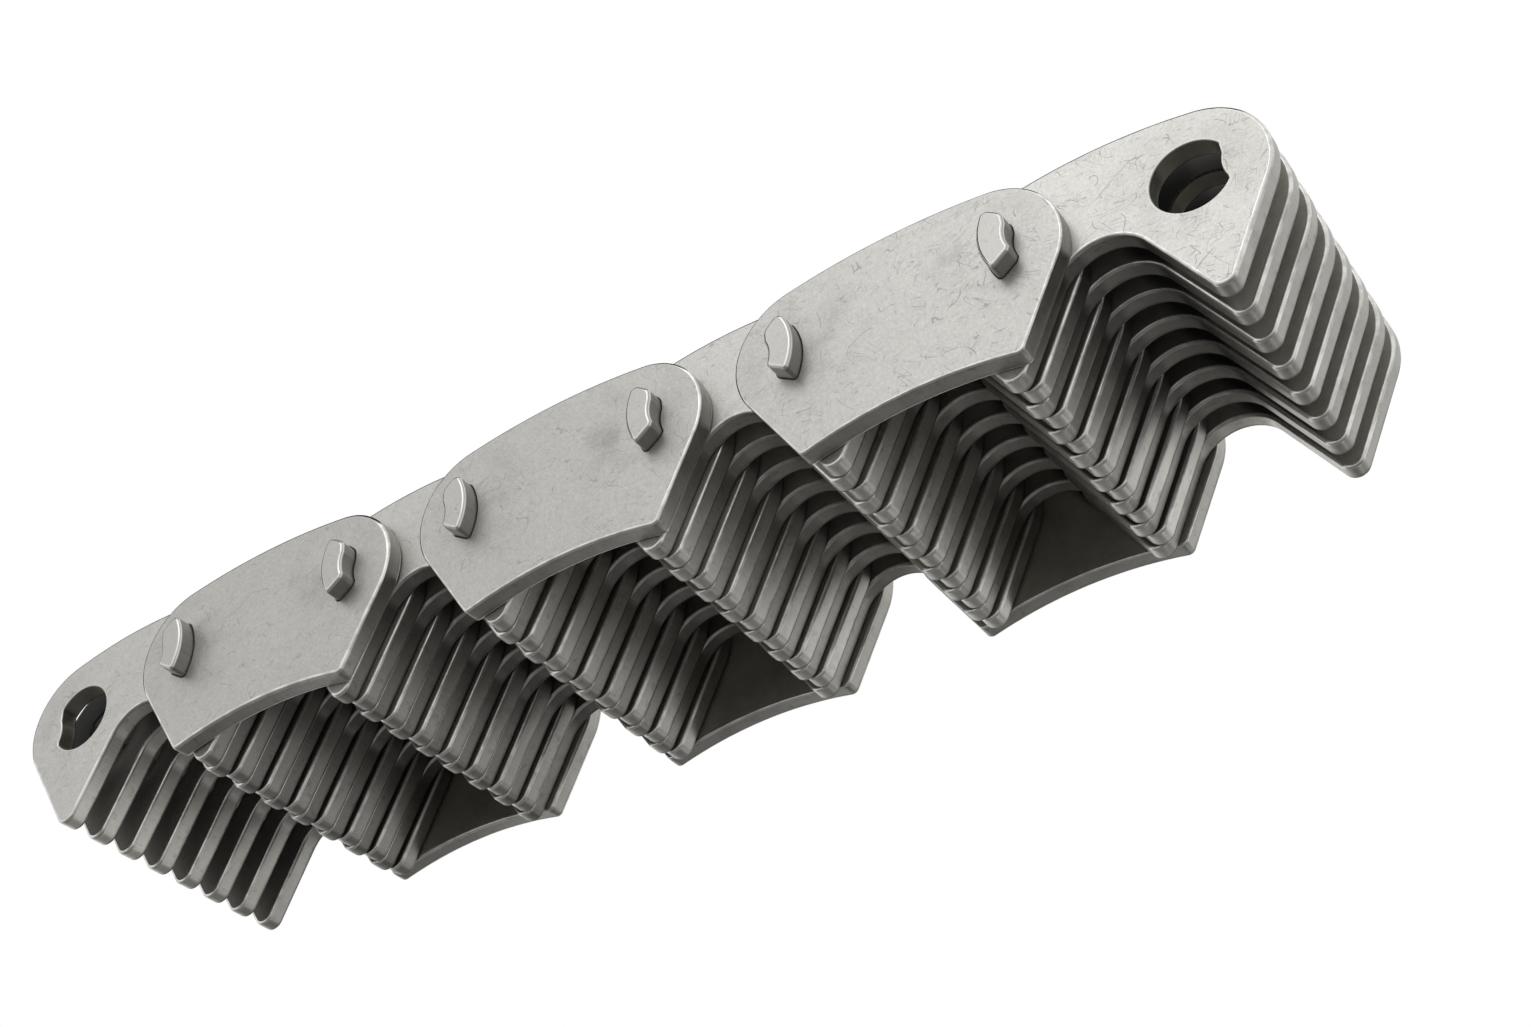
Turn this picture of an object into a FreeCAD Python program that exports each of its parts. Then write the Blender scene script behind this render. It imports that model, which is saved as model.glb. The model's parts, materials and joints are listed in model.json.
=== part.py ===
"""Silent chain with rocker joints: a straight length of seven laced rows.

Plates of punched steel stand side by side across the width, each in its own lane. Drive rows and
guide rows take turns along the length. A guide row has a toothless guide plate at each side, outside
the toothed plates, and the ends of its pins stand out of them. Each joint holds two pins, one of each
row, and the rounded faces of the two roll on each other when the chain bends.

The length runs along X and the width along Y. Z is up, away from the teeth. The origin lies under the
middle of the chain, at the height of the toe tips. Lengths are in millimetres and angles in degrees.
"""

import FreeCAD, Part

import math
import os

# Chain
pitch = 25.4                  # from joint to joint
guide_row_count = 3           # drive rows stand at both ends, so there is one more of them
plates_per_drive_row = 8
plate_thickness = 2.8
plate_gap = 0.075             # running gap between one plate and the next

# Toothed plate, heights and depths from the line through the joints
toothed_end_radius = 10.0
toothed_crown_height = 11.5
flank_angle = 30.0            # from the vertical, for every flank
toe_depth = 17.4
toe_radius = 1.8
crotch_depth = 2.9            # top of the space that a sprocket tooth enters

# Guide plate
guide_end_radius = 10.1
guide_crown_height = 11.1
guide_corner_depth = 16.4     # of the sharp corner, before rounding
guide_corner_radius = 1.0
guide_arch_depth = 14.5       # of the hollow lower edge, at its middle

# Aperture: a round hole with a straight seat on its outer side and a low key on the seat
aperture_radius = 5.1
seat_distance = 4.15          # from the joint's axis
seat_land_above_key = 1.75
seat_land_below_key = 0.55
key_height = 0.35

# Rocker pin
rolling_radius = 9.0          # of the face that rolls on the other pin
rolling_gap = 0.42            # between the two rolling faces of a joint
rocking_clearance = 0.2       # between a pin and the round part of the other row's apertures
head_radius = 0.9             # of the upper corner of the rolling face
shoulder_radius = 1.5         # of the upper corner of the back
foot_inset = 0.3              # of the lower corner of the back, from the back
pin_edge_radius = 0.5
pin_end_chamfer = 0.3
pin_fit = 0.03                # between a pin and the plates that hold it
pin_projection = 2.6          # of a guide row's pin, beyond its guide plates
pin_end_play = 0.1            # between a drive row's pin and the guide plates

same_place = 1e-5             # two points nearer than this are one

across = FreeCAD.Vector(0, 1, 0)
flank = math.radians(flank_angle)
lane_pitch = plate_thickness + plate_gap
lane_count = 2 * plates_per_drive_row + 1
inner_width = (lane_count - 2) * lane_pitch + plate_gap
outer_width = inner_width + 2 * plate_thickness
row_count = 2 * guide_row_count + 1


def point(x, z, y=0.0):
    return FreeCAD.Vector(x, y, z)


def on_circle(centre, radius, angle):
    """The point of a circle at an angle, in radians, from +X towards +Z."""
    return centre + point(radius * math.cos(angle), radius * math.sin(angle))


def line(start, end):
    return Part.LineSegment(start, end).toShape()


def arc(start, through, end):
    return Part.Arc(start, through, end).toShape()


def arc_about(centre, start, end):
    """The shorter arc about a centre."""
    radius = (start - centre).Length
    outwards = ((start - centre) + (end - centre)).normalize()
    return arc(start, centre + outwards * radius, end)


def mirrored(shape):
    """The shape mirrored in X."""
    return shape.mirror(point(0, 0), FreeCAD.Vector(1, 0, 0))


def face_of(edges):
    return Part.Face(Part.Wire(Part.__sortEdges__(edges)))


def prism(face, front, width):
    """A solid over a face in the XZ plane, from y = front."""
    moved = face.copy()
    moved.translate(point(0, 0, front))
    return moved.extrude(across * width)


def end_and_crown(end_radius, crown_height):
    """Right half of a plate's back: crown arc and end arc, down to the outer flank."""
    joint = point(pitch / 2, 0)
    crown_radius = (joint.x ** 2 + crown_height ** 2 - end_radius ** 2) / (2 * (crown_height - end_radius))
    crown_centre = point(0, crown_height - crown_radius)
    away = (joint - crown_centre).normalize()
    shoulder = joint + away * end_radius
    top = point(0, crown_height)
    flank_start = on_circle(joint, end_radius, -flank)
    return [arc_about(crown_centre, top, shoulder), arc_about(joint, shoulder, flank_start)], flank_start


def flank_reach(end_radius, height):
    """X of the outer flank's line at a height."""
    return pitch / 2 + end_radius / math.cos(flank) + height * math.tan(flank)


def toothed_outline():
    """Right half of a toothed plate: back, outer flank, toe, inner flank and half of the crotch."""
    edges, flank_start = end_and_crown(toothed_end_radius, toothed_crown_height)
    apex_height = -(toe_depth + toe_radius * (1 / math.sin(flank) - 1))
    apex = point(flank_reach(toothed_end_radius, apex_height), apex_height)
    toe_centre = apex + point(0, toe_radius / math.sin(flank))
    outer_tangent = on_circle(toe_centre, toe_radius, -flank)
    inner_tangent = on_circle(toe_centre, toe_radius, math.pi + flank)
    rise = -crotch_depth - apex_height
    crotch_radius = (apex.x * math.cos(flank) - rise * math.sin(flank)) / (1 - math.sin(flank))
    crotch_centre = point(0, -crotch_depth - crotch_radius)
    crotch_end = on_circle(crotch_centre, crotch_radius, flank)
    crotch_top = point(0, -crotch_depth)
    edges.append(line(flank_start, outer_tangent))
    edges.append(arc(outer_tangent, toe_centre - point(0, toe_radius), inner_tangent))
    edges.append(line(inner_tangent, crotch_end))
    edges.append(arc_about(crotch_centre, crotch_end, crotch_top))
    return edges


def guide_outline():
    """Right half of a guide plate: back, flank, rounded corner and half of the hollow lower edge."""
    edges, flank_start = end_and_crown(guide_end_radius, guide_crown_height)
    corner = point(flank_reach(guide_end_radius, -guide_corner_depth), -guide_corner_depth)
    rise = guide_corner_depth - guide_arch_depth
    arch_radius = (corner.x ** 2 + rise ** 2) / (2 * rise)
    arch_centre = point(0, -guide_arch_depth - arch_radius)

    # The corner's circle lies inside the flank and outside the arch, and touches both
    flank_normal = point(math.cos(flank), -math.sin(flank))
    reach = arch_radius + guide_corner_radius
    offset = (corner - arch_centre).dot(flank_normal) - guide_corner_radius
    normal_angle = math.atan2(flank_normal.z, flank_normal.x)
    centre_angle = normal_angle + math.acos(offset / reach)
    corner_centre = on_circle(arch_centre, reach, centre_angle)
    flank_tangent = corner_centre + flank_normal * guide_corner_radius
    arch_tangent = on_circle(arch_centre, arch_radius, centre_angle)
    edges.append(line(flank_start, flank_tangent))
    edges.append(arc_about(corner_centre, flank_tangent, arch_tangent))
    edges.append(arc_about(arch_centre, arch_tangent, point(0, -guide_arch_depth)))
    return edges


def seat_half_length():
    return math.sqrt(aperture_radius ** 2 - seat_distance ** 2)


def key_arc(distance):
    """The key's or the notch's arc, from its top to its foot, on a line at a distance from the joint."""
    top = point(distance, seat_half_length() - seat_land_above_key)
    foot = point(distance, seat_land_below_key - seat_half_length())
    crest = (top + foot) / 2 - point(key_height, 0)
    return top, foot, arc(top, crest, foot)


def aperture():
    """Aperture of a plate's right end, about the joint at the origin."""
    seat_top = point(seat_distance, seat_half_length())
    seat_foot = point(seat_distance, -seat_half_length())
    key_top, key_foot, key = key_arc(seat_distance)
    round_part = arc(seat_foot, point(-aperture_radius, 0), seat_top)
    return face_of([round_part, line(seat_top, key_top), key, line(key_foot, seat_foot)])


def crossing(joint_radius, centre_distance, centre_radius):
    """The upper point where a circle about the joint meets a circle about a point farther along +X."""
    reach = (joint_radius ** 2 - centre_radius ** 2 + centre_distance ** 2) / (2 * centre_distance)
    return point(reach, math.sqrt(joint_radius ** 2 - reach ** 2))


def pin_section():
    """Section of a rocker pin for a plate's right end, about the joint at the origin.

    The head is round about the joint, and the back has a notch for the key. The underside slopes.
    """
    joint = point(0, 0)
    rolling_centre = point(rolling_gap / 2 + rolling_radius, 0)
    sweep = aperture_radius - rocking_clearance
    upper_end = crossing(sweep, rolling_centre.x, rolling_radius)
    heel = point(upper_end.x, -upper_end.z)

    # The rounding between the rolling face and the head touches both
    head_centre = crossing(sweep - head_radius, rolling_centre.x, rolling_radius - head_radius)
    head_start = rolling_centre + (head_centre - rolling_centre).normalize() * rolling_radius
    head_end = joint + (head_centre - joint).normalize() * sweep

    back = seat_distance - pin_fit
    shoulder = point(back, math.sqrt(sweep ** 2 - back ** 2))
    notch_top, notch_foot, notch = key_arc(back)
    foot_reach = back - foot_inset
    foot = point(foot_reach, -math.sqrt(sweep ** 2 - foot_reach ** 2))
    outline = [arc(heel, point(rolling_gap / 2, 0), head_start), arc_about(head_centre, head_start, head_end)]
    outline += [arc_about(joint, head_end, shoulder), line(shoulder, notch_top), notch]
    outline += [line(notch_foot, foot), line(foot, heel)]
    rounded = round_edge_over(face_of(outline).extrude(across), shoulder, shoulder_radius)
    for corner in (heel, foot, notch_foot, notch_top):
        rounded = round_edge_over(rounded, corner, pin_edge_radius)
    front = [face for face in rounded.Faces if face.CenterOfMass.y < same_place]
    return front[0]


def round_edge_over(solid, corner, radius):
    """Round the edge that runs along Y through a corner of the section."""
    def runs_through(edge):
        flat = [point(vertex.X, vertex.Z) for vertex in edge.Vertexes]
        return len(flat) == 2 and all((spot - corner).Length < same_place for spot in flat)

    return solid.makeFillet(radius, [edge for edge in solid.Edges if runs_through(edge)])


def placed_ends(right_end):
    """A face made about the right joint and its mirror image about the left joint."""
    right = right_end.copy()
    right.translate(point(pitch / 2, 0))
    return mirrored(right), right


def plate(half_outline, end_hole):
    """A plate about its middle on the line of the joints, with its front at y = 0."""
    outline = half_outline + [mirrored(edge) for edge in half_outline]
    body = prism(face_of(outline), 0, plate_thickness)
    for hole in placed_ends(end_hole):
        body = body.cut(prism(hole, -plate_gap, plate_thickness + 2 * plate_gap))
    return body.removeSplitter()


def pin(section, half_length):
    """A pin over a section, centred across the width, with its end edges broken."""
    body = prism(section, -half_length, 2 * half_length)
    rims = [edge for edge in body.Edges if abs(abs(edge.CenterOfMass.y) - half_length) < same_place]
    return body.makeChamfer(pin_end_chamfer, rims)


def row_middle(row):
    """Middle of a row, counted from 0 at the left end."""
    return (row - (row_count - 1) / 2) * pitch


def lane_front(lane):
    """Front face of a plate's lane, counted from 0 at the near guide plates."""
    return lane * lane_pitch - outer_width / 2


def at(shape, row, front=0.0):
    moved = shape.copy()
    moved.translate(point(row_middle(row), toe_depth, front))
    return moved


def export(name, shapes):
    solids = [solid for shape in shapes for solid in shape.Solids]
    shape = solids[0] if len(solids) == 1 else Part.makeCompound(solids)
    if not shape.isValid():
        raise ValueError(name + " is not a valid shape")
    shape.exportStep("parts/" + name + ".step")


def drive_row(row, name, toothed, left_pin, right_pin):
    """A row of single toothed plates in the odd lanes, with pins where it meets a guide row."""
    for number in range(plates_per_drive_row):
        export(f"{name}_plate_{number + 1}", [at(toothed, row, lane_front(2 * number + 1))])
    if row > 0:
        export(name + "_left_pin", [at(left_pin, row)])
    if row < row_count - 1:
        export(name + "_right_pin", [at(right_pin, row)])


def guide_row(row, name, toothed, guide, left_pin, right_pin):
    """A row with toothed plates in the even lanes, between two guide plates that the pins pass."""
    inner_lanes = range(2, lane_count - 1, 2)
    export(name + "_inner_plates", [at(toothed, row, lane_front(lane)) for lane in inner_lanes])
    export(name + "_near_guide_plate", [at(guide, row, lane_front(0))])
    export(name + "_far_guide_plate", [at(guide, row, lane_front(lane_count - 1))])
    export(name + "_left_pin", [at(left_pin, row)])
    export(name + "_right_pin", [at(right_pin, row)])


def main():
    os.makedirs("parts", exist_ok=True)
    section = pin_section()
    pin_hole = section.makeOffset2D(pin_fit)
    toothed = plate(toothed_outline(), aperture())
    guide = plate(guide_outline(), pin_hole)
    left_section, right_section = placed_ends(section)
    drive_half = inner_width / 2 - pin_end_play
    guide_half = outer_width / 2 + pin_projection
    drive_pins = pin(left_section, drive_half), pin(right_section, drive_half)
    guide_pins = pin(left_section, guide_half), pin(right_section, guide_half)
    for row in range(row_count):
        number = row // 2 + 1
        if row % 2 == 0:
            drive_row(row, f"drive_row_{number}", toothed, *drive_pins)
        else:
            guide_row(row, f"guide_row_{number}", toothed, guide, *guide_pins)


main()
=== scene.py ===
"""Silent chain with rocker joints, dressed in worn satin steel and set in a pale studio.

The chain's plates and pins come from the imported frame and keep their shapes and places. Each kind of
piece gets edges rolled over by tumbling and a steel of its own. A plate's steel knows its flat faces
from its sheared walls, and the walls show the burnished band and the torn band that a punch leaves.
Lengths are in metres, in the frame of the chain's construction.
"""

import json
import math

import bpy
from bpy.props import FloatProperty, FloatVectorProperty, IntProperty, PointerProperty
from mathutils import Euler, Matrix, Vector


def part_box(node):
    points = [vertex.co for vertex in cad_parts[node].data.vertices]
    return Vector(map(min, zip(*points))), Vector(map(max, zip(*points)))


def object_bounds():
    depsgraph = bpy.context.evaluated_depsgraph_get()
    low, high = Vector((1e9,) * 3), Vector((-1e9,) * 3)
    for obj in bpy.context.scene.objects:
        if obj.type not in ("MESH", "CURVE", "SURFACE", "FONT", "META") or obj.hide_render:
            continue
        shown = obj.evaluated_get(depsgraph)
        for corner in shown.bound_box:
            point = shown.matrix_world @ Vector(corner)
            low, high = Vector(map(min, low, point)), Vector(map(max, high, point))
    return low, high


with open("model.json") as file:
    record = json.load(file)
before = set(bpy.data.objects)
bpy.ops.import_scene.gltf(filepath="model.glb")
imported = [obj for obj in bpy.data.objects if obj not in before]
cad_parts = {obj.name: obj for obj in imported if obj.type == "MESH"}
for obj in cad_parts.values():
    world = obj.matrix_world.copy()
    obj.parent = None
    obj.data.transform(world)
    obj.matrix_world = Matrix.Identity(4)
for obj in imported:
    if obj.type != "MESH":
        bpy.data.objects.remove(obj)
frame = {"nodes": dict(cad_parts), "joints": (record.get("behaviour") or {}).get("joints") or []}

bl_info = {
    "name": "Silent chain finish",
    "version": (1, 0, 0),
    "blender": (4, 5, 0),
    "location": "View3D > Sidebar > Silent chain",
    "description": "Gives the plates and pins of a silent chain their steel, and sets up its studio",
    "category": "Object",
}

MILLIMETRE = 0.001
CAD_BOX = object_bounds()

TOOTHED_PLATES = [name for name in frame["nodes"]
                  if "_plate_" in name or name.endswith("_inner_plates")]
GUIDE_PLATES = [name for name in frame["nodes"] if name.endswith("_guide_plate")]
PINS = [name for name in frame["nodes"] if name.endswith("_pin")]


def lane_measures():
    """Front of the first lane, distance between lanes and thickness of a plate."""
    first_low, first_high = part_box("drive_row_1_plate_1")
    second_low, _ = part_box("drive_row_1_plate_2")
    pitch = (second_low.y - first_low.y) / 2
    return first_low.y - pitch, pitch, first_high.y - first_low.y


def joint_measures():
    """Place of the first joint along the chain, distance between joints and their height."""
    along = sorted(joint["pos_m"][0] for joint in frame["joints"])
    return along[0], along[1] - along[0], frame["joints"][0]["pos_m"][2]


LANE_FRONT, LANE_PITCH, PLATE_THICKNESS = lane_measures()
FIRST_JOINT, PITCH, JOINT_HEIGHT = joint_measures()
LAST_APERTURE = FIRST_JOINT + len(frame["joints"]) * PITCH
SECOND_LANE = abs(LANE_FRONT + LANE_PITCH)

# Distances from a joint, in millimetres, where an aperture's wall starts to count and where it
# counts fully.
BORE_REACH = (5.9, 5.5)
# Distance from a joint, in millimetres, within which a plate's edges are those of its holes.
HOLE_REACH = 6.0
SHARP_ANGLE = math.radians(40)
# Turn in radians, length in millimetres and spacing in millimetres of each set of hairlines.
HAIRLINES = ((0.35, 5.0, 0.9), (1.25, 3.6, 0.8), (2.3, 6.5, 1.1), (2.95, 4.2, 0.7))

# Stretches along the chain, in metres, over which the painted shade and light change.
MIDDLE = (-0.010, 0.012)
LEFT_HALF = (-0.035, 0.010)
RIGHT_GUIDES = (0.040, 0.060)
RIGHT_ROW = (0.050, 0.064)
RIGHT_END = (0.056, 0.064)
RIGHT_TOOTH_SPACE = (0.068, 0.074)

# Offsets of the lamps from the middle of the chain, in metres.
KEY_OFFSET = Vector((0.0, -0.42, 0.42))
TOE_OFFSET = Vector((0.25, 0.42, -0.38))
KEY_SIZE = 0.3
TOE_SIZE = 0.12


class SteelSettings(bpy.types.PropertyGroup):
    """Colours and wear of the chain's steel."""

    face_colour: FloatVectorProperty(
        name="Face colour",
        description="Tumbled steel on the flat faces of the plates",
        subtype="COLOR",
        default=(0.463, 0.454, 0.432),
        min=0.0,
        max=1.0,
    )
    wall_colour: FloatVectorProperty(
        name="Wall colour",
        description="Sheared steel on the walls round a plate and in its apertures",
        subtype="COLOR",
        default=(0.37, 0.36, 0.334),
        min=0.0,
        max=1.0,
    )
    edge_colour: FloatVectorProperty(
        name="Edge colour",
        description="Bright steel where the edges have been rubbed",
        subtype="COLOR",
        default=(0.74, 0.728, 0.70),
        min=0.0,
        max=1.0,
    )
    pin_colour: FloatVectorProperty(
        name="Pin colour",
        description="Hardened steel of the rocker pins",
        subtype="COLOR",
        default=(0.50, 0.49, 0.466),
        min=0.0,
        max=1.0,
    )
    stain_colour: FloatVectorProperty(
        name="Stain colour",
        description="Dirt in specks and scratches",
        subtype="COLOR",
        default=(0.12, 0.116, 0.108),
        min=0.0,
        max=1.0,
    )
    # Painted shade: a dark colour for the faces between the plates and the walls of the apertures,
    # where shade falls. On the rolled edges it is also the dull colour where rubbing missed and round
    # the holes.
    dull_and_shade_colour: FloatVectorProperty(
        name="Film colour",
        description="Steel under the dark oil film between the plates and in the apertures",
        subtype="COLOR",
        default=(0.30, 0.285, 0.25),
        min=0.0,
        max=1.0,
    )
    # Painted shade: black mixed onto the rolled edges that look up and towards the left end, onto the
    # back edges of the toothed plates and round the holes.
    edge_shade_colour: FloatVectorProperty(
        name="Crevice colour",
        description="Black oil on the edges that nothing rubs",
        subtype="COLOR",
        default=(0.012, 0.0115, 0.010),
        min=0.0,
        max=1.0,
    )
    face_roughness: FloatProperty(
        name="Face roughness",
        description="Roughness of the flat faces",
        subtype="FACTOR",
        default=0.46,
        min=0.0,
        max=1.0,
    )
    wall_roughness: FloatProperty(
        name="Wall roughness",
        description="Roughness of the burnished band of the walls",
        subtype="FACTOR",
        default=0.40,
        min=0.0,
        max=1.0,
    )
    edge_roughness: FloatProperty(
        name="Edge roughness",
        description="Roughness of the rubbed edges",
        subtype="FACTOR",
        default=0.26,
        min=0.0,
        max=1.0,
    )
    scratch_depth: FloatProperty(
        name="Scratch depth",
        description="Depth of the hairline scratches",
        unit="LENGTH",
        default=0.012 * MILLIMETRE,
        min=0.0,
    )


class EdgeSettings(bpy.types.PropertyGroup):
    """Sizes of the edges that tumbling has rolled over."""

    plate_radius: FloatProperty(
        name="Plate edge",
        description="Width of the rolled edge of a plate",
        unit="LENGTH",
        default=0.45 * MILLIMETRE,
        min=0.0,
    )
    pin_radius: FloatProperty(
        name="Pin edge",
        description="Width of the rolled edge of a pin",
        unit="LENGTH",
        default=0.15 * MILLIMETRE,
        min=0.0,
    )
    segments: IntProperty(
        name="Segments",
        description="Faces across a rolled edge",
        default=3,
        min=1,
        max=6,
    )


class StudioSettings(bpy.types.PropertyGroup):
    """The floor, the lamps and the camera."""

    floor_width: FloatProperty(
        name="Floor width",
        description="Side of the square floor under the chain",
        unit="LENGTH",
        default=12.0,
        min=0.1,
    )
    floor_colour: FloatVectorProperty(
        name="Floor colour",
        description="Pale paper of the studio floor",
        subtype="COLOR",
        default=(0.86, 0.86, 0.855),
        min=0.0,
        max=1.0,
    )
    low_colour: FloatVectorProperty(
        name="Low colour",
        description="Dim grey of the studio below the level of the chain",
        subtype="COLOR",
        default=(0.21, 0.21, 0.207),
        min=0.0,
        max=1.0,
    )
    key_power: FloatProperty(
        name="Key power",
        description="Power of the large lamp in front and above, in watts",
        default=0.40,
        min=0.0,
    )
    toe_power: FloatProperty(
        name="Toe power",
        description="Power of the lamp low behind the right end, in watts",
        default=0.09,
        min=0.0,
    )
    lens: FloatProperty(
        name="Lens",
        description="Focal length of the camera, in millimetres, on a frame 36 mm wide",
        default=51.03,
        min=10.0,
    )
    camera_place: FloatVectorProperty(
        name="Camera place",
        description="Place of the camera: low, in front of the right end, looking up at the teeth",
        subtype="TRANSLATION",
        unit="LENGTH",
        default=(0.12876, -0.20041, -0.16310),
    )
    camera_turn: FloatVectorProperty(
        name="Camera turn",
        description="Rotation of the camera about X, Y and Z",
        subtype="EULER",
        unit="ROTATION",
        default=(math.radians(128.224), math.radians(4.503), math.radians(32.726)),
    )


class Term:
    """A socket's value in an expression. An operator on it adds a Math node."""

    def __init__(self, surface, socket):
        self.surface = surface
        self.socket = socket

    def __add__(self, other):
        return self.surface.maths("ADD", self, other)

    def __sub__(self, other):
        return self.surface.maths("SUBTRACT", self, other)

    def __mul__(self, other):
        return self.surface.maths("MULTIPLY", self, other)

    def __radd__(self, other):
        return self.surface.maths("ADD", other, self)

    def __rsub__(self, other):
        return self.surface.maths("SUBTRACT", other, self)

    def __abs__(self):
        return self.surface.maths("ABSOLUTE", self)


class Surface:
    """The node tree of a material, of the world or of a modifier, built from terms."""

    def __init__(self, tree):
        self.tree = tree
        self.tree.nodes.clear()

    def node(self, kind, settings=None, inputs=None):
        """A node of a kind. Its settings are made first, then its sockets get values or links."""
        made = self.tree.nodes.new(kind)
        for name, value in (settings or {}).items():
            setattr(made, name, value)
        for name, value in (inputs or {}).items():
            if isinstance(value, Term):
                self.tree.links.new(value.socket, made.inputs[name])
            else:
                made.inputs[name].default_value = value
        return made

    def term(self, kind, output, settings=None, inputs=None):
        return Term(self, self.node(kind, settings, inputs).outputs[output])

    def maths(self, operation, *values):
        return self.term("ShaderNodeMath", 0, {"operation": operation}, dict(enumerate(values)))

    def vector_maths(self, operation, *values):
        inputs = dict(enumerate(values))
        return self.term("ShaderNodeVectorMath", 0, {"operation": operation}, inputs)

    def colour_mix(self, factor, low, high):
        """A colour between two, by a factor. Colours are terms or four numbers."""
        inputs = {0: factor, 6: low, 7: high}
        return self.term("ShaderNodeMix", 2, {"data_type": "RGBA"}, inputs)

    def shaded(self, colour, factor):
        """A colour, as a term or three numbers, made brighter or darker by a factor."""
        start = colour if isinstance(colour, Term) else tuple(colour)
        inputs = {0: start, "Scale": factor}
        return self.term("ShaderNodeVectorMath", 0, {"operation": "SCALE"}, inputs)

    def ramp(self, value, start, end):
        """0 up to start, 1 from end on, with a smooth rise or fall between them."""
        settings = {"interpolation_type": "SMOOTHSTEP"}
        if start < end:
            inputs = {"Value": value, "From Min": start, "From Max": end}
            return self.term("ShaderNodeMapRange", 0, settings, inputs)
        inputs = {"Value": value, "From Min": end, "From Max": start, "To Min": 1.0, "To Max": 0.0}
        return self.term("ShaderNodeMapRange", 0, settings, inputs)

    def clouds(self, place, size, detail=2.0, roughness=0.5):
        """Noise from 0 to 1 with patches about as large as size, in millimetres."""
        inputs = {"Vector": place, "Scale": 1.0 / size, "Detail": detail, "Roughness": roughness}
        return self.term("ShaderNodeTexNoise", 0, {"noise_dimensions": "3D"}, inputs)


def opaque(colour):
    return (colour[0], colour[1], colour[2], 1.0)


def new_material(name):
    """A material and its empty node tree."""
    material = bpy.data.materials.new(name)
    material.use_nodes = True
    return material, Surface(material.node_tree)


def millimetres(surface):
    """Place on the piece at rest, in millimetres, shifted a little from piece to piece."""
    place = surface.term("ShaderNodeTexCoord", "Object")
    chance = surface.term("ShaderNodeObjectInfo", "Random")
    scaled = surface.vector_maths("MULTIPLY", place, (1 / MILLIMETRE,) * 3)
    shift = {"X": chance * 90.0, "Z": chance * 70.0}
    offset = surface.term("ShaderNodeCombineXYZ", 0, inputs=shift)
    return surface.vector_maths("ADD", scaled, offset)


def hairlines(surface, place, turn, length, spacing, width):
    """Fine straight scratches on the XZ plane, about length long, along a direction."""
    settings = {"rotation_type": "Y_AXIS"}
    turned = surface.term("ShaderNodeVectorRotate", 0, settings, {"Vector": place, "Angle": turn})
    stretched = surface.vector_maths("MULTIPLY", turned, (1 / length, 1 / length, 1 / spacing))
    waves = surface.clouds(stretched, 1.0, 0.0)
    line = surface.ramp(abs(waves - 0.5), width, width * 0.3)
    elsewhere = surface.vector_maths("ADD", turned, (37.0, 11.0, 5.0))
    breaks = surface.clouds(elsewhere, length * 0.55, 1.0)
    return line * surface.ramp(breaks, 0.56, 0.64)


def curls(surface, place, size, width, share):
    """Fine curved scratches: parts of the level lines of smooth clouds."""
    flat_place = surface.vector_maths("MULTIPLY", place, (1.0, 0.02, 1.0))
    waves = surface.clouds(flat_place, size, 0.4)
    line = surface.ramp(abs(waves - 0.5), width, width * 0.3)
    elsewhere = surface.vector_maths("ADD", flat_place, (51.0, 23.0, 17.0))
    breaks = surface.clouds(elsewhere, size * 0.6, 1.0)
    return line * surface.ramp(breaks, 1 - share, 1.08 - share)


def specks(surface, place, spacing, size, share):
    """Small dark pits, on about a share of the cells."""
    cells = {"Vector": place, "Scale": 1 / spacing, "Randomness": 1.0}
    pits = surface.node("ShaderNodeTexVoronoi", {"feature": "F1"}, cells)
    nearness = Term(surface, pits.outputs["Distance"])
    cell_colour = Term(surface, pits.outputs["Color"])
    chance = surface.term("ShaderNodeSeparateColor", 0, inputs={0: cell_colour})
    kept = surface.ramp(chance, 1 - share, 1.01 - share)
    return surface.ramp(nearness, size / spacing, size / spacing * 0.4) * kept


def part_of(surface, output, axis):
    """One coordinate of the place on the piece at rest, in metres, or of its normal."""
    coordinates = surface.term("ShaderNodeTexCoord", output)
    return surface.term("ShaderNodeSeparateXYZ", axis, inputs={0: coordinates})


def flatness(surface):
    """1 on faces square to the width of the chain, 0 on the walls between them."""
    return surface.ramp(abs(part_of(surface, "Normal", "Y")), 0.5, 0.8)


def outwardness(surface):
    """1 on the flat faces that look out of the chain's sides, 0 on those between plates."""
    outwards = part_of(surface, "Object", "Y") * part_of(surface, "Normal", "Y")
    return surface.ramp(outwards, SECOND_LANE - LANE_PITCH / 2, SECOND_LANE - LANE_PITCH / 4)


def facing_up_left(surface):
    """1 where a rolled edge looks up and towards the left end, the side that is painted black as
    shade.
    """
    away = part_of(surface, "Normal", "Z") * 0.87 - part_of(surface, "Normal", "X") * 0.5
    return surface.ramp(away, 0.02, 0.09)


def through_plate(surface):
    """0 at the front of the plate's lane and 1 at its back."""
    lane = surface.maths("FRACT", (part_of(surface, "Object", "Y") - LANE_FRONT) * (1 / LANE_PITCH))
    return lane * (LANE_PITCH / PLATE_THICKNESS)


def recessed_flank(surface):
    """1 on the left flanks of a plate's own tooth space, which are set back behind the next row's.

    Guide rows and drive rows take turns across the width. The first row is left out, because nothing
    stands in front of its flank.
    """
    x = part_of(surface, "Object", "X")
    gap = LANE_PITCH - PLATE_THICKNESS
    from_front = part_of(surface, "Object", "Y") - LANE_FRONT + gap / 2
    lane = surface.maths("FLOOR", from_front * (1 / LANE_PITCH))
    drive_row = surface.maths("FRACT", lane * 0.5) * 2.0
    along = (x - FIRST_JOINT - PITCH / 2 - drive_row * PITCH) * (1 / (2 * PITCH))
    aside = (surface.maths("FRACT", along + 0.5) - 0.5) * (2 * PITCH / MILLIMETRE)
    behind_others = surface.ramp(x, FIRST_JOINT - PITCH * 0.6, FIRST_JOINT - PITCH * 0.4)
    left_half = surface.ramp(aside, -1.0, -3.0) * behind_others
    return left_half * surface.ramp(part_of(surface, "Normal", "X"), 0.15, 0.45)


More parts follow.
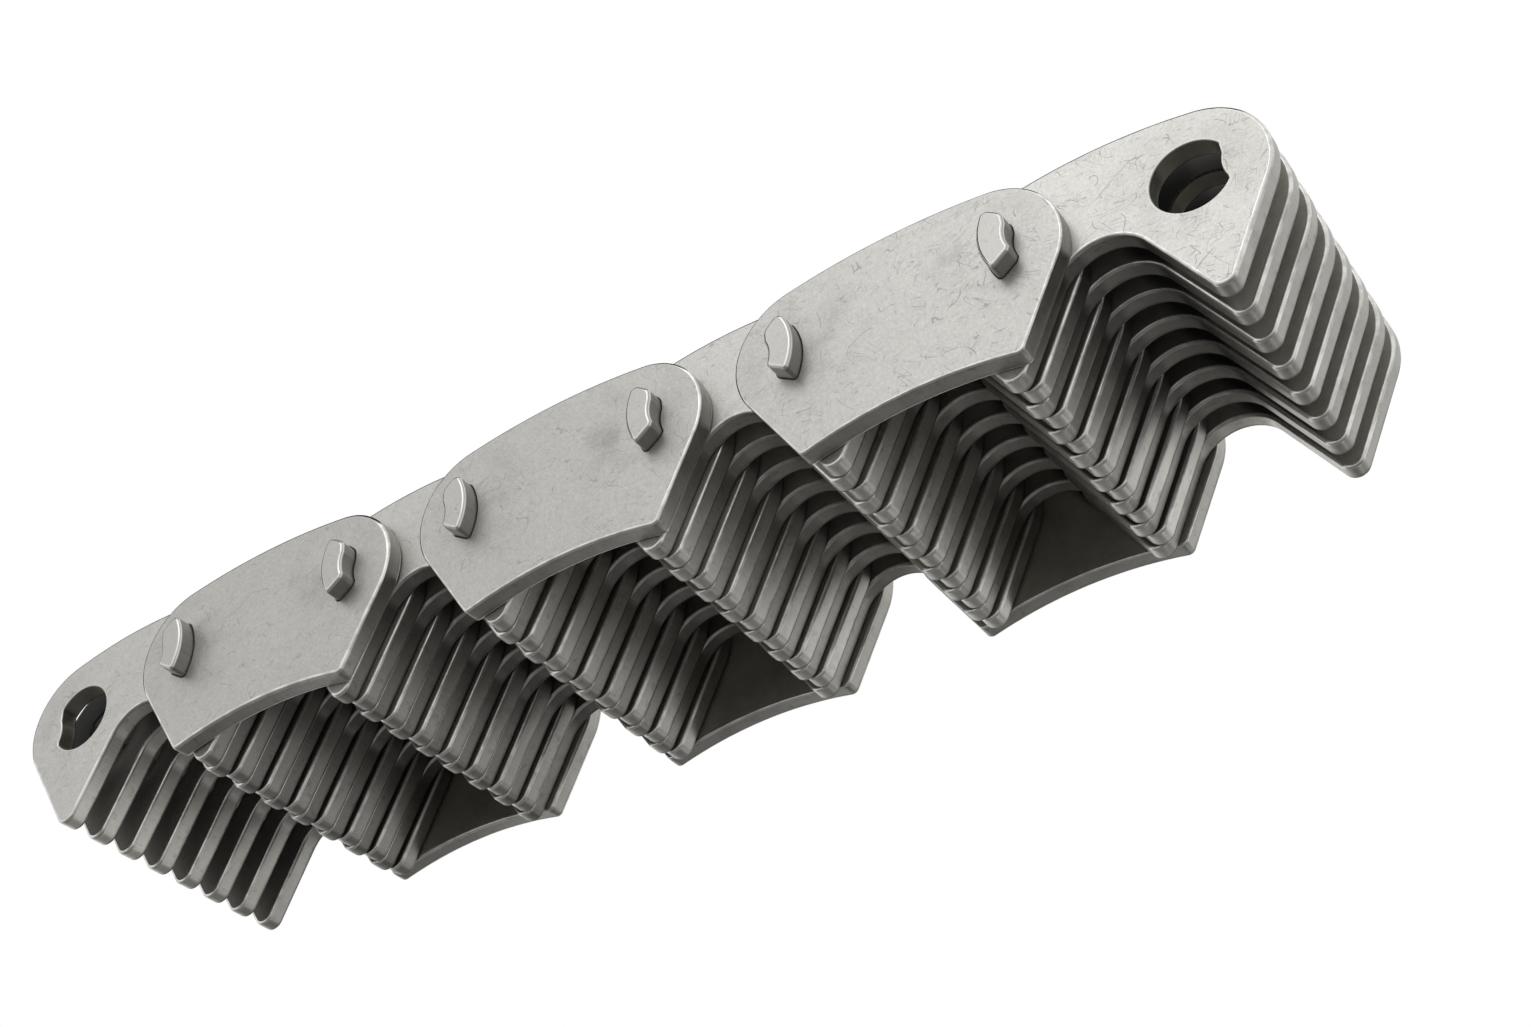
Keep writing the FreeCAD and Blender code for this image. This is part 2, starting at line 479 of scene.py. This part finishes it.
def arched(surface, start, end):
    """1 on the arched tops of the tooth spaces, where the normal slopes down past start to end."""
    downwards = surface.ramp(part_of(surface, "Normal", "Z"), -start, -end)
    return downwards * surface.ramp(part_of(surface, "Object", "Z"), 0.004, 0.008)


def distance_to_joints(surface, x, z, right=0.0, up=0.0, every=1):
    """Distance in millimetres from the nearest joint or end aperture, or from a point beside each.

    With every=2 only the first, third and fifth joints count. They hold the guide rows' left pins.
    """
    along = (x - FIRST_JOINT - right * MILLIMETRE) * (1 / (PITCH * every))
    aside = (surface.maths("FRACT", along + 0.5) - 0.5) * (PITCH * every / MILLIMETRE)
    above = (z - JOINT_HEIGHT - up * MILLIMETRE) * (1 / MILLIMETRE)
    return surface.maths("SQRT", aside * aside + above * above)


def joint_distance(surface, right=0.0, up=0.0, every=1):
    """Distance from the nearest joint for the place on the piece at rest."""
    x = part_of(surface, "Object", "X")
    z = part_of(surface, "Object", "Z")
    return distance_to_joints(surface, x, z, right, up, every)


def tumbled_face(surface, place, steel, grime, between_plates_shading):
    """Colour, roughness and relief of a flat face: cloudy, finely pitted, with stray hairlines."""
    patches = surface.clouds(place, 9.0, 4.0, 0.62)
    mottle = surface.clouds(place, 1.1, 3.0, 0.6)
    grain = surface.clouds(place, 0.19, 2.0, 0.7)
    fine = surface.clouds(place, 0.45, 2.0, 0.6)
    short_curls = curls(surface, place, 3.4, 0.010, 0.44)
    long_curls = curls(surface, place, 6.5, 0.006, 0.46)
    lines = surface.maths("MAXIMUM", short_curls, long_curls)
    for turn, length, spacing in HAIRLINES:
        hairline = hairlines(surface, place, turn, length, spacing, 0.010)
        lines = surface.maths("MAXIMUM", lines, hairline)
    large_pits = specks(surface, place, 2.4, 0.16, 0.4)
    small_pits = specks(surface, place, 0.9, 0.06, 0.3)
    pits = surface.maths("MAXIMUM", large_pits, small_pits)
    joint = joint_distance(surface)
    smudged = surface.ramp(surface.clouds(place, 5.0, 1.5, 0.5), 0.40, 0.66)
    by_left_pin = surface.ramp(joint_distance(surface, 2.4, 1.6, 2), 4.4, 1.2)
    right_pin = PITCH / MILLIMETRE - 4.6
    by_right_pin = surface.ramp(joint_distance(surface, right_pin, 1.2, 2), 4.4, 1.2)
    handled = (by_left_pin + by_right_pin) * grime
    smudges = surface.ramp(joint, 12.0, 5.5) * smudged * 0.7 + handled * (0.6 + smudged)
    shade = 0.53 + patches * 0.20 + mottle * 0.17 + fine * 0.35 + grain * 0.42 - smudges * 0.15
    clean = surface.shaded(steel.face_colour, shade)
    soiled = surface.colour_mix(lines * 0.26, clean, opaque(steel.stain_colour))
    soiled = surface.colour_mix(pits * 0.4, soiled, opaque(steel.stain_colour))
    # Painted shade: the faces between the plates take the dark colour, and are painted darker still
    # round the holes, for the shade that falls between the plates.
    hole_shade = surface.ramp(joint_distance(surface, -2.5, 2.0), 10.0, 8.0)
    between_shade_strength = (0.44 + patches * 0.8 + mottle * 0.3) * (1.0 - hole_shade * 0.86) * between_plates_shading
    between_plates_shade = surface.shaded(steel.dull_and_shade_colour, between_shade_strength)
    outward = outwardness(surface)
    colour = surface.colour_mix(outward, between_plates_shade, soiled)
    roughness = steel.face_roughness - 0.06 + patches * 0.14 + lines * 0.1
    relief = grain * 0.4 + fine * 0.6 + mottle * 0.4 - lines * 0.8 - pits * 0.9
    return colour, roughness, relief


def painted_shading(surface):
    """Painted shade and light on a toothed plate, as factors on the colour of its walls and of its
    faces between the plates.

    The walls are painted lightest at the left end, most in the front lanes, and lighter from the
    middle on. They are painted darker towards the tops of the tooth spaces, in the right tooth space
    and on the set-back flanks, most next to the right end, and lighter on the arched tops next to the
    right end.
    The faces between the plates are painted darkest at the left end, and darker again at the right row
    and towards the tops of the tooth spaces away from the right end. The lanes at the far side get
    less of the darkening in the right tooth space and at the right row. Nothing is painted past the
    last aperture.
    """
    along = part_of(surface, "Object", "X")
    across = part_of(surface, "Object", "Y")
    between_rows = surface.ramp(along, LAST_APERTURE, LAST_APERTURE - 2 * MILLIMETRE)
    far_lanes = abs(LANE_FRONT) - 3 * LANE_PITCH
    far = surface.ramp(across, far_lanes, far_lanes + 0.1 * LANE_PITCH)
    backwards = surface.ramp(across, LANE_FRONT, -LANE_FRONT)
    high = surface.ramp(part_of(surface, "Object", "Z"), 0.006, JOINT_HEIGHT - 0.004)
    left_end_light = surface.ramp(along, FIRST_JOINT, FIRST_JOINT - PITCH * 0.6)
    spread = surface.ramp(along, *RIGHT_TOOTH_SPACE)
    right_end = surface.ramp(along, *RIGHT_END)

    lighter_stretches = surface.ramp(along, *LEFT_HALF) * 0.5 + surface.ramp(along, *RIGHT_GUIDES) * 0.1
    walls = 0.88 + lighter_stretches + left_end_light * (1.25 - backwards * 0.95)
    walls = walls * (1.0 - high * (0.25 + right_end * 0.12))
    walls = walls * (1.0 - spread * (0.30 + high * 0.3) * (1.0 - far * 0.8))
    walls = walls * (1.0 + arched(surface, 0.5, 0.75) * right_end * 1.3)
    walls = walls * (1.0 - recessed_flank(surface) * (0.32 + right_end * 0.1))

    between_plates_shade = 0.45 + surface.ramp(along, FIRST_JOINT, FIRST_JOINT + 0.014) * 0.45
    between_plates_shade = between_plates_shade + surface.ramp(along, *MIDDLE) * 0.4
    between_plates_shade = between_plates_shade - surface.ramp(along, *RIGHT_ROW) * (0.98 - far * 0.56)
    between_plates_shade = between_plates_shade * (1.0 - high * (1.0 - right_end) * 0.45)
    return 1.0 + between_rows * (walls - 1.0), 1.0 + between_rows * (between_plates_shade - 1.0)


def sheared_wall(surface, place, steel, painted_light_factor):
    """Colour, roughness and relief of a punched wall, scored and bright and then torn and dull."""
    depth = through_plate(surface)
    wander = surface.clouds(place, 4.0, 2.0)
    torn = surface.ramp(depth + wander * 0.3, 0.86, 1.0)
    drawn_out = surface.vector_maths("MULTIPLY", place, (1.0, 0.06, 1.0))
    scores = surface.clouds(drawn_out, 0.22, 2.0, 0.65)
    crumbs = surface.clouds(place, 0.14, 3.0, 0.7)
    patches = surface.clouds(place, 3.4, 3.0, 0.62)
    rollover = surface.ramp(abs(depth - 0.14), 0.06, 0.02)
    stains = surface.ramp(surface.clouds(place, 1.7, 3.0, 0.7), 0.52, 0.74)
    shade = 0.52 + patches * 0.76 + scores * 0.28 - torn * 0.12 - rollover * 0.12 - stains * 0.34
    # Painted light and shade: the wall's colour is scaled by a factor that paints shade and light
    # along the chain, and the walls of the apertures take the dark colour painted for the shade in the
    # holes.
    bright = surface.shaded(steel.wall_colour, shade * painted_light_factor)
    bore = surface.ramp(joint_distance(surface), *BORE_REACH)
    colour = surface.colour_mix(bore, bright, surface.shaded(steel.dull_and_shade_colour, 1.0 + patches * 0.8))
    roughness = steel.wall_roughness - 0.10 + patches * 0.16 + torn * 0.14 + scores * 0.06
    roughness = roughness + arched(surface, 0.6, 0.8) * 0.26
    relief = scores * 0.5 + torn * (crumbs * 0.6 - 0.25)
    return colour, roughness, relief


def steel_shader(surface, colour, roughness, relief, depth, metallic=1.0, painted_shade=None,
                 painted_shade_colour=None):
    """Metal from a colour, a roughness and a relief, of which 1 stands for a depth. Painted shade
    mixes in a matt dark colour.
    """
    bumps = {"Strength": 1.0, "Distance": depth, "Height": relief}
    bump = surface.term("ShaderNodeBump", 0, inputs=bumps)
    inputs = {"Base Color": colour, "Roughness": roughness, "Normal": bump, "Metallic": metallic}
    inputs["Specular IOR Level"] = 0.15
    shader = surface.term("ShaderNodeBsdfPrincipled", 0, inputs=inputs)
    if painted_shade:
        matt = surface.term("ShaderNodeBsdfDiffuse", 0, inputs={"Color": opaque(painted_shade_colour)})
        shader = surface.term("ShaderNodeMixShader", 0, inputs={0: painted_shade, 1: shader, 2: matt})
    surface.node("ShaderNodeOutputMaterial", inputs={"Surface": shader})


def plate_steel(name, steel, tint, grime, toothed):
    """Steel of a plate: tumbled faces, with grime about the joints, and sheared walls."""
    material, surface = new_material(name)
    place = millimetres(surface)
    flat = flatness(surface)
    # Painted light and shade: toothed plates get their factors from along the chain. Guide plates keep
    # their walls as they are and have their faces between the plates painted 1.6 times as light.
    wall_shading, between_plates_shading = painted_shading(surface) if toothed else (1.0, 1.6)
    face_colour, face_roughness, face_relief = tumbled_face(surface, place, steel, grime, between_plates_shading)
    wall_colour, wall_roughness, wall_relief = sheared_wall(surface, place, steel, wall_shading)
    colour = surface.colour_mix(flat, wall_colour, surface.shaded(face_colour, tint))
    roughness = wall_roughness + (face_roughness - wall_roughness) * flat
    relief = wall_relief + (face_relief - wall_relief) * flat
    metallic = 1.0 - flat * (1.0 - outwardness(surface)) * 0.65
    steel_shader(surface, colour, roughness, relief, steel.scratch_depth, metallic)
    return material


def edge_steel(name, steel, toothed):
    """Steel of a rolled edge: rubbed bright where reached, with black painted shade on top, behind and
    in bores.
    """
    material, surface = new_material(name)
    place = millimetres(surface)
    rub = surface.clouds(place, 2.2, 3.0, 0.6)
    nicks = surface.clouds(place, 0.35, 2.0, 0.7)
    aperture = surface.ramp(joint_distance(surface), *BORE_REACH)
    # The rims are dulled at random where rubbing missed them, and are painted darker round the holes
    # and on the arched tops of the tooth spaces as shade.
    dull = surface.maths("MAXIMUM", surface.ramp(rub, 0.62, 0.36) * 0.4, aperture * 0.4)
    worn_and_shaded = surface.colour_mix(dull, opaque(steel.edge_colour), opaque(steel.dull_and_shade_colour))
    worn_and_shaded = surface.shaded(worn_and_shaded, 1.0 - arched(surface, 0.2, 0.45) * 0.34)
    # Painted shade: black on the edges that look up and left, on the back edges of the toothed plates,
    # and round the holes of the inner lanes and of the guide plates.
    painted_shade = facing_up_left(surface) * (1.0 - aperture)
    if toothed:
        from_middle = abs(part_of(surface, "Object", "Y"))
        inner_lanes = surface.ramp(from_middle, SECOND_LANE, SECOND_LANE - LANE_PITCH / 2)
        back = surface.ramp(through_plate(surface), 0.5, 0.6)
        painted_shade = surface.maths("MAXIMUM", painted_shade, back * 0.8) + aperture * inner_lanes
    else:
        painted_shade = painted_shade + aperture * 0.7
    roughness = steel.edge_roughness + dull * 0.2 + nicks * 0.08
    painted_shade = surface.maths("MINIMUM", painted_shade, 1.0) * (0.8 + nicks * 0.3)
    steel_shader(surface, worn_and_shaded, roughness, nicks * 0.7, steel.scratch_depth,
                 painted_shade=painted_shade, painted_shade_colour=steel.edge_shade_colour)
    return material


def pin_edge_steel(name, steel):
    """Steel of a pin's broken edges: ground and bright, with small nicks."""
    material, surface = new_material(name)
    nicks = surface.clouds(millimetres(surface), 0.35, 2.0, 0.7)
    bright = surface.shaded(steel.edge_colour, 0.72 + nicks * 0.26)
    roughness = steel.edge_roughness + 0.04 + nicks * 0.1
    # Painted shade: black on the pin edges that look up and left.
    painted_shade = facing_up_left(surface) * 0.85
    steel_shader(surface, bright, roughness, nicks * 0.7, steel.scratch_depth,
                 painted_shade=painted_shade, painted_shade_colour=steel.edge_shade_colour)
    return material


def pin_steel(name, steel):
    """Steel of a rocker pin: drawn along its length, with a ground end."""
    material, surface = new_material(name)
    place = millimetres(surface)
    flat = flatness(surface)
    drawn_out = surface.vector_maths("MULTIPLY", place, (1.0, 0.05, 1.0))
    drawn = surface.clouds(drawn_out, 0.25, 2.0, 0.6)
    patches = surface.clouds(place, 2.6, 3.0, 0.6)
    grain = surface.clouds(place, 0.15, 2.0, 0.7)
    lines = surface.maths("MAXIMUM", hairlines(surface, place, 0.9, 2.4, 0.45, 0.016),
                          curls(surface, place, 2.2, 0.014, 0.42))
    # Painted shade: the sides of a pin that face right are darker.
    rightwards = surface.ramp(part_of(surface, "Normal", "X"), 0.3, 0.9)
    shade = 0.58 + patches * 0.2 + drawn * 0.32 + flat * 0.10 - rightwards * 0.16
    clean = surface.shaded(steel.pin_colour, shade)
    colour = surface.colour_mix(lines * flat * 0.4, clean, opaque(steel.stain_colour))
    roughness = 0.32 + patches * 0.12 + drawn * 0.06 + flat * 0.08
    relief = drawn * 0.4 + grain * 0.25 - lines * flat * 0.7
    steel_shader(surface, colour, roughness, relief, steel.scratch_depth)
    return material


def edge_weights():
    """Nodes that weigh a plate's sharp edges for rolling: full outside, less round its holes."""
    tree = bpy.data.node_groups.new("plate_edge_weights", "GeometryNodeTree")
    tree.interface.new_socket("Geometry", in_out="INPUT", socket_type="NodeSocketGeometry")
    tree.interface.new_socket("Geometry", in_out="OUTPUT", socket_type="NodeSocketGeometry")
    surface = Surface(tree)
    place = surface.term("GeometryNodeInputPosition", 0)
    x = surface.term("ShaderNodeSeparateXYZ", "X", inputs={0: place})
    z = surface.term("ShaderNodeSeparateXYZ", "Z", inputs={0: place})
    angle = surface.term("GeometryNodeInputMeshEdgeAngle", 0)
    sharp = surface.maths("GREATER_THAN", angle, SHARP_ANGLE)
    outside = surface.maths("GREATER_THAN", distance_to_joints(surface, x, z), HOLE_REACH)
    weight = sharp * (0.5 + outside * 0.5)
    geometry = surface.term("NodeGroupInput", 0)
    settings = {"data_type": "FLOAT", "domain": "EDGE"}
    inputs = {"Geometry": geometry, "Name": "bevel_weight_edge", "Value": weight}
    weighed = surface.term("GeometryNodeStoreNamedAttribute", 0, settings, inputs)
    surface.node("NodeGroupOutput", inputs={0: weighed})
    return tree


def roll_edges(piece, radius, segments, weights):
    """Round the sharp edges of a piece, with the piece's second material on the rounded part."""
    weld = piece.modifiers.new("Joined corners", "WELD")
    weld.merge_threshold = 0.001 * MILLIMETRE
    flats = piece.modifiers.new("Whole flats", "DECIMATE")
    flats.decimate_type = "DISSOLVE"
    flats.angle_limit = math.radians(0.4)
    if weights:
        piece.modifiers.new("Edge weights", "NODES").node_group = weights
    rolled = piece.modifiers.new("Rolled edges", "BEVEL")
    rolled.width = radius
    rolled.segments = segments
    rolled.limit_method = "WEIGHT" if weights else "ANGLE"
    rolled.angle_limit = SHARP_ANGLE
    rolled.loop_slide = False
    rolled.material = 1
    rolled.harden_normals = False
    shading = piece.modifiers.new("Even shading", "WEIGHTED_NORMAL")
    shading.keep_sharp = False
    shading.weight = 80
    for polygon in piece.data.polygons:
        polygon.use_smooth = True


def dress(names, body_steel, rim_steel, radius, segments, weights=None):
    """Give CAD nodes their two steels and their rolled edges."""
    for name in names:
        piece = frame["nodes"][name]
        piece.data.materials.clear()
        piece.data.materials.append(body_steel)
        piece.data.materials.append(rim_steel)
        for polygon in piece.data.polygons:
            polygon.material_index = 0
        roll_edges(piece, radius, segments, weights)


class CHAIN_OT_toothed_plates(bpy.types.Operator):
    """Finish the toothed plates of the drive rows and the guide rows"""

    bl_idname = "chain.toothed_plates"
    bl_label = "Finish the toothed plates"

    def execute(self, context):
        steel = context.scene.chain_steel
        edges = context.scene.chain_edges
        body = plate_steel("toothed_plate_steel_finish", steel, 1.0, 0.0, True)
        rim = edge_steel("toothed_plate_edge_finish", steel, True)
        dress(TOOTHED_PLATES, body, rim, edges.plate_radius, edges.segments, edge_weights())
        return {"FINISHED"}


class CHAIN_OT_guide_plates(bpy.types.Operator):
    """Finish the guide plates at both sides"""

    bl_idname = "chain.guide_plates"
    bl_label = "Finish the guide plates"

    def execute(self, context):
        steel = context.scene.chain_steel
        edges = context.scene.chain_edges
        body = plate_steel("guide_plate_steel_finish", steel, 0.91, 0.7, False)
        rim = edge_steel("guide_plate_edge_finish", steel, False)
        dress(GUIDE_PLATES, body, rim, edges.plate_radius, edges.segments, edge_weights())
        return {"FINISHED"}


class CHAIN_OT_rocker_pins(bpy.types.Operator):
    """Finish the rocker pins"""

    bl_idname = "chain.rocker_pins"
    bl_label = "Finish the rocker pins"

    def execute(self, context):
        steel = context.scene.chain_steel
        edges = context.scene.chain_edges
        body = pin_steel("pin_steel_finish", steel)
        rim = pin_edge_steel("pin_edge_finish", steel)
        dress(PINS, body, rim, edges.pin_radius, edges.segments)
        return {"FINISHED"}


def floor(studio):
    """A pale floor that is seen from above only, so that the camera below it sees the teeth."""
    half = studio.floor_width / 2
    mesh = bpy.data.meshes.new("studio_floor")
    corners = [(-half, -half, 0), (half, -half, 0), (half, half, 0), (-half, half, 0)]
    mesh.from_pydata(corners, [], [(0, 1, 2, 3)])
    plane = bpy.data.objects.new("studio_floor", mesh)
    bpy.context.scene.collection.objects.link(plane)
    material, surface = new_material("studio_floor_paper")
    underside = surface.term("ShaderNodeNewGeometry", "Backfacing")
    paper_inputs = {"Base Color": opaque(studio.floor_colour), "Roughness": 0.9}
    paper = surface.term("ShaderNodeBsdfPrincipled", 0, inputs=paper_inputs)
    clear = surface.term("ShaderNodeBsdfTransparent", 0)
    shown = surface.term("ShaderNodeMixShader", 0, inputs={0: underside, 1: paper, 2: clear})
    surface.node("ShaderNodeOutputMaterial", inputs={"Surface": shown})
    mesh.materials.append(material)
    plane.visible_glossy = False
    plane.visible_shadow = False


def surroundings(studio):
    """A white studio that dims towards the ground, the same to the camera and in reflections."""
    world = bpy.data.worlds.new("studio_walls")
    bpy.context.scene.world = world
    world.use_nodes = True
    surface = Surface(world.node_tree)
    direction = surface.term("ShaderNodeTexCoord", "Generated")
    height = surface.term("ShaderNodeSeparateXYZ", "Z", inputs={0: direction})
    rise = surface.ramp(height, -0.55, -0.02)
    colour = surface.colour_mix(rise, opaque(studio.low_colour), (1.0, 1.0, 1.0, 1.0))
    light = surface.term("ShaderNodeBackground", 0, inputs={"Color": colour, "Strength": 1.0})
    surface.node("ShaderNodeOutputWorld", inputs={"Surface": light})


def lamp(name, place, aim, size, power):
    """A soft square lamp that the camera doesn't see."""
    data = bpy.data.lights.new(name, "AREA")
    data.size = size
    data.energy = power
    made = bpy.data.objects.new(name, data)
    made.location = place
    made.rotation_euler = (Vector(aim) - Vector(place)).to_track_quat("-Z", "Y").to_euler()
    made.visible_camera = False
    bpy.context.scene.collection.objects.link(made)


def camera(studio):
    """The camera, low in front of the right end."""
    data = bpy.data.cameras.new("studio_camera")
    data.lens = studio.lens
    data.sensor_width = 36.0
    data.sensor_fit = "HORIZONTAL"
    data.clip_start = 0.01
    data.clip_end = 10.0
    made = bpy.data.objects.new("studio_camera", data)
    made.location = studio.camera_place
    made.rotation_euler = Euler(studio.camera_turn)
    bpy.context.scene.collection.objects.link(made)
    bpy.context.scene.camera = made


class CHAIN_OT_studio(bpy.types.Operator):
    """Set up the floor, the surroundings, the lamps and the camera"""

    bl_idname = "chain.studio"
    bl_label = "Set up the studio"

    def execute(self, context):
        studio = context.scene.chain_studio
        low, high = CAD_BOX
        middle = (low + high) / 2
        floor(studio)
        surroundings(studio)
        lamp("key_lamp", middle + KEY_OFFSET, middle, KEY_SIZE, studio.key_power)
        lamp("toe_lamp", middle + TOE_OFFSET, middle, TOE_SIZE, studio.toe_power)
        camera(studio)
        context.scene.view_settings.view_transform = "Standard"
        return {"FINISHED"}


class CHAIN_PT_finish(bpy.types.Panel):
    """The chain's finish in the sidebar of the 3D view"""

    bl_idname = "CHAIN_PT_finish"
    bl_label = "Silent chain"
    bl_space_type = "VIEW_3D"
    bl_region_type = "UI"
    bl_category = "Silent chain"

    def draw(self, context):
        scene = context.scene
        for title, settings in (("Steel", scene.chain_steel), ("Edges", scene.chain_edges),
                                ("Studio", scene.chain_studio)):
            box = self.layout.box()
            box.label(text=title)
            for name in settings.__annotations__:
                box.prop(settings, name)
        for operator in OPERATORS:
            self.layout.operator(operator.bl_idname)


OPERATORS = (CHAIN_OT_toothed_plates, CHAIN_OT_guide_plates, CHAIN_OT_rocker_pins, CHAIN_OT_studio)
CLASSES = (SteelSettings, EdgeSettings, StudioSettings) + OPERATORS + (CHAIN_PT_finish,)


def register():
    for cls in CLASSES:
        bpy.utils.register_class(cls)
    bpy.types.Scene.chain_steel = PointerProperty(type=SteelSettings)
    bpy.types.Scene.chain_edges = PointerProperty(type=EdgeSettings)
    bpy.types.Scene.chain_studio = PointerProperty(type=StudioSettings)


def unregister():
    del bpy.types.Scene.chain_studio
    del bpy.types.Scene.chain_edges
    del bpy.types.Scene.chain_steel
    for cls in reversed(CLASSES):
        bpy.utils.unregister_class(cls)


def main():
    register()
    bpy.ops.chain.toothed_plates()
    bpy.ops.chain.guide_plates()
    bpy.ops.chain.rocker_pins()
    bpy.ops.chain.studio()


if __name__ == "__main__":
    main()
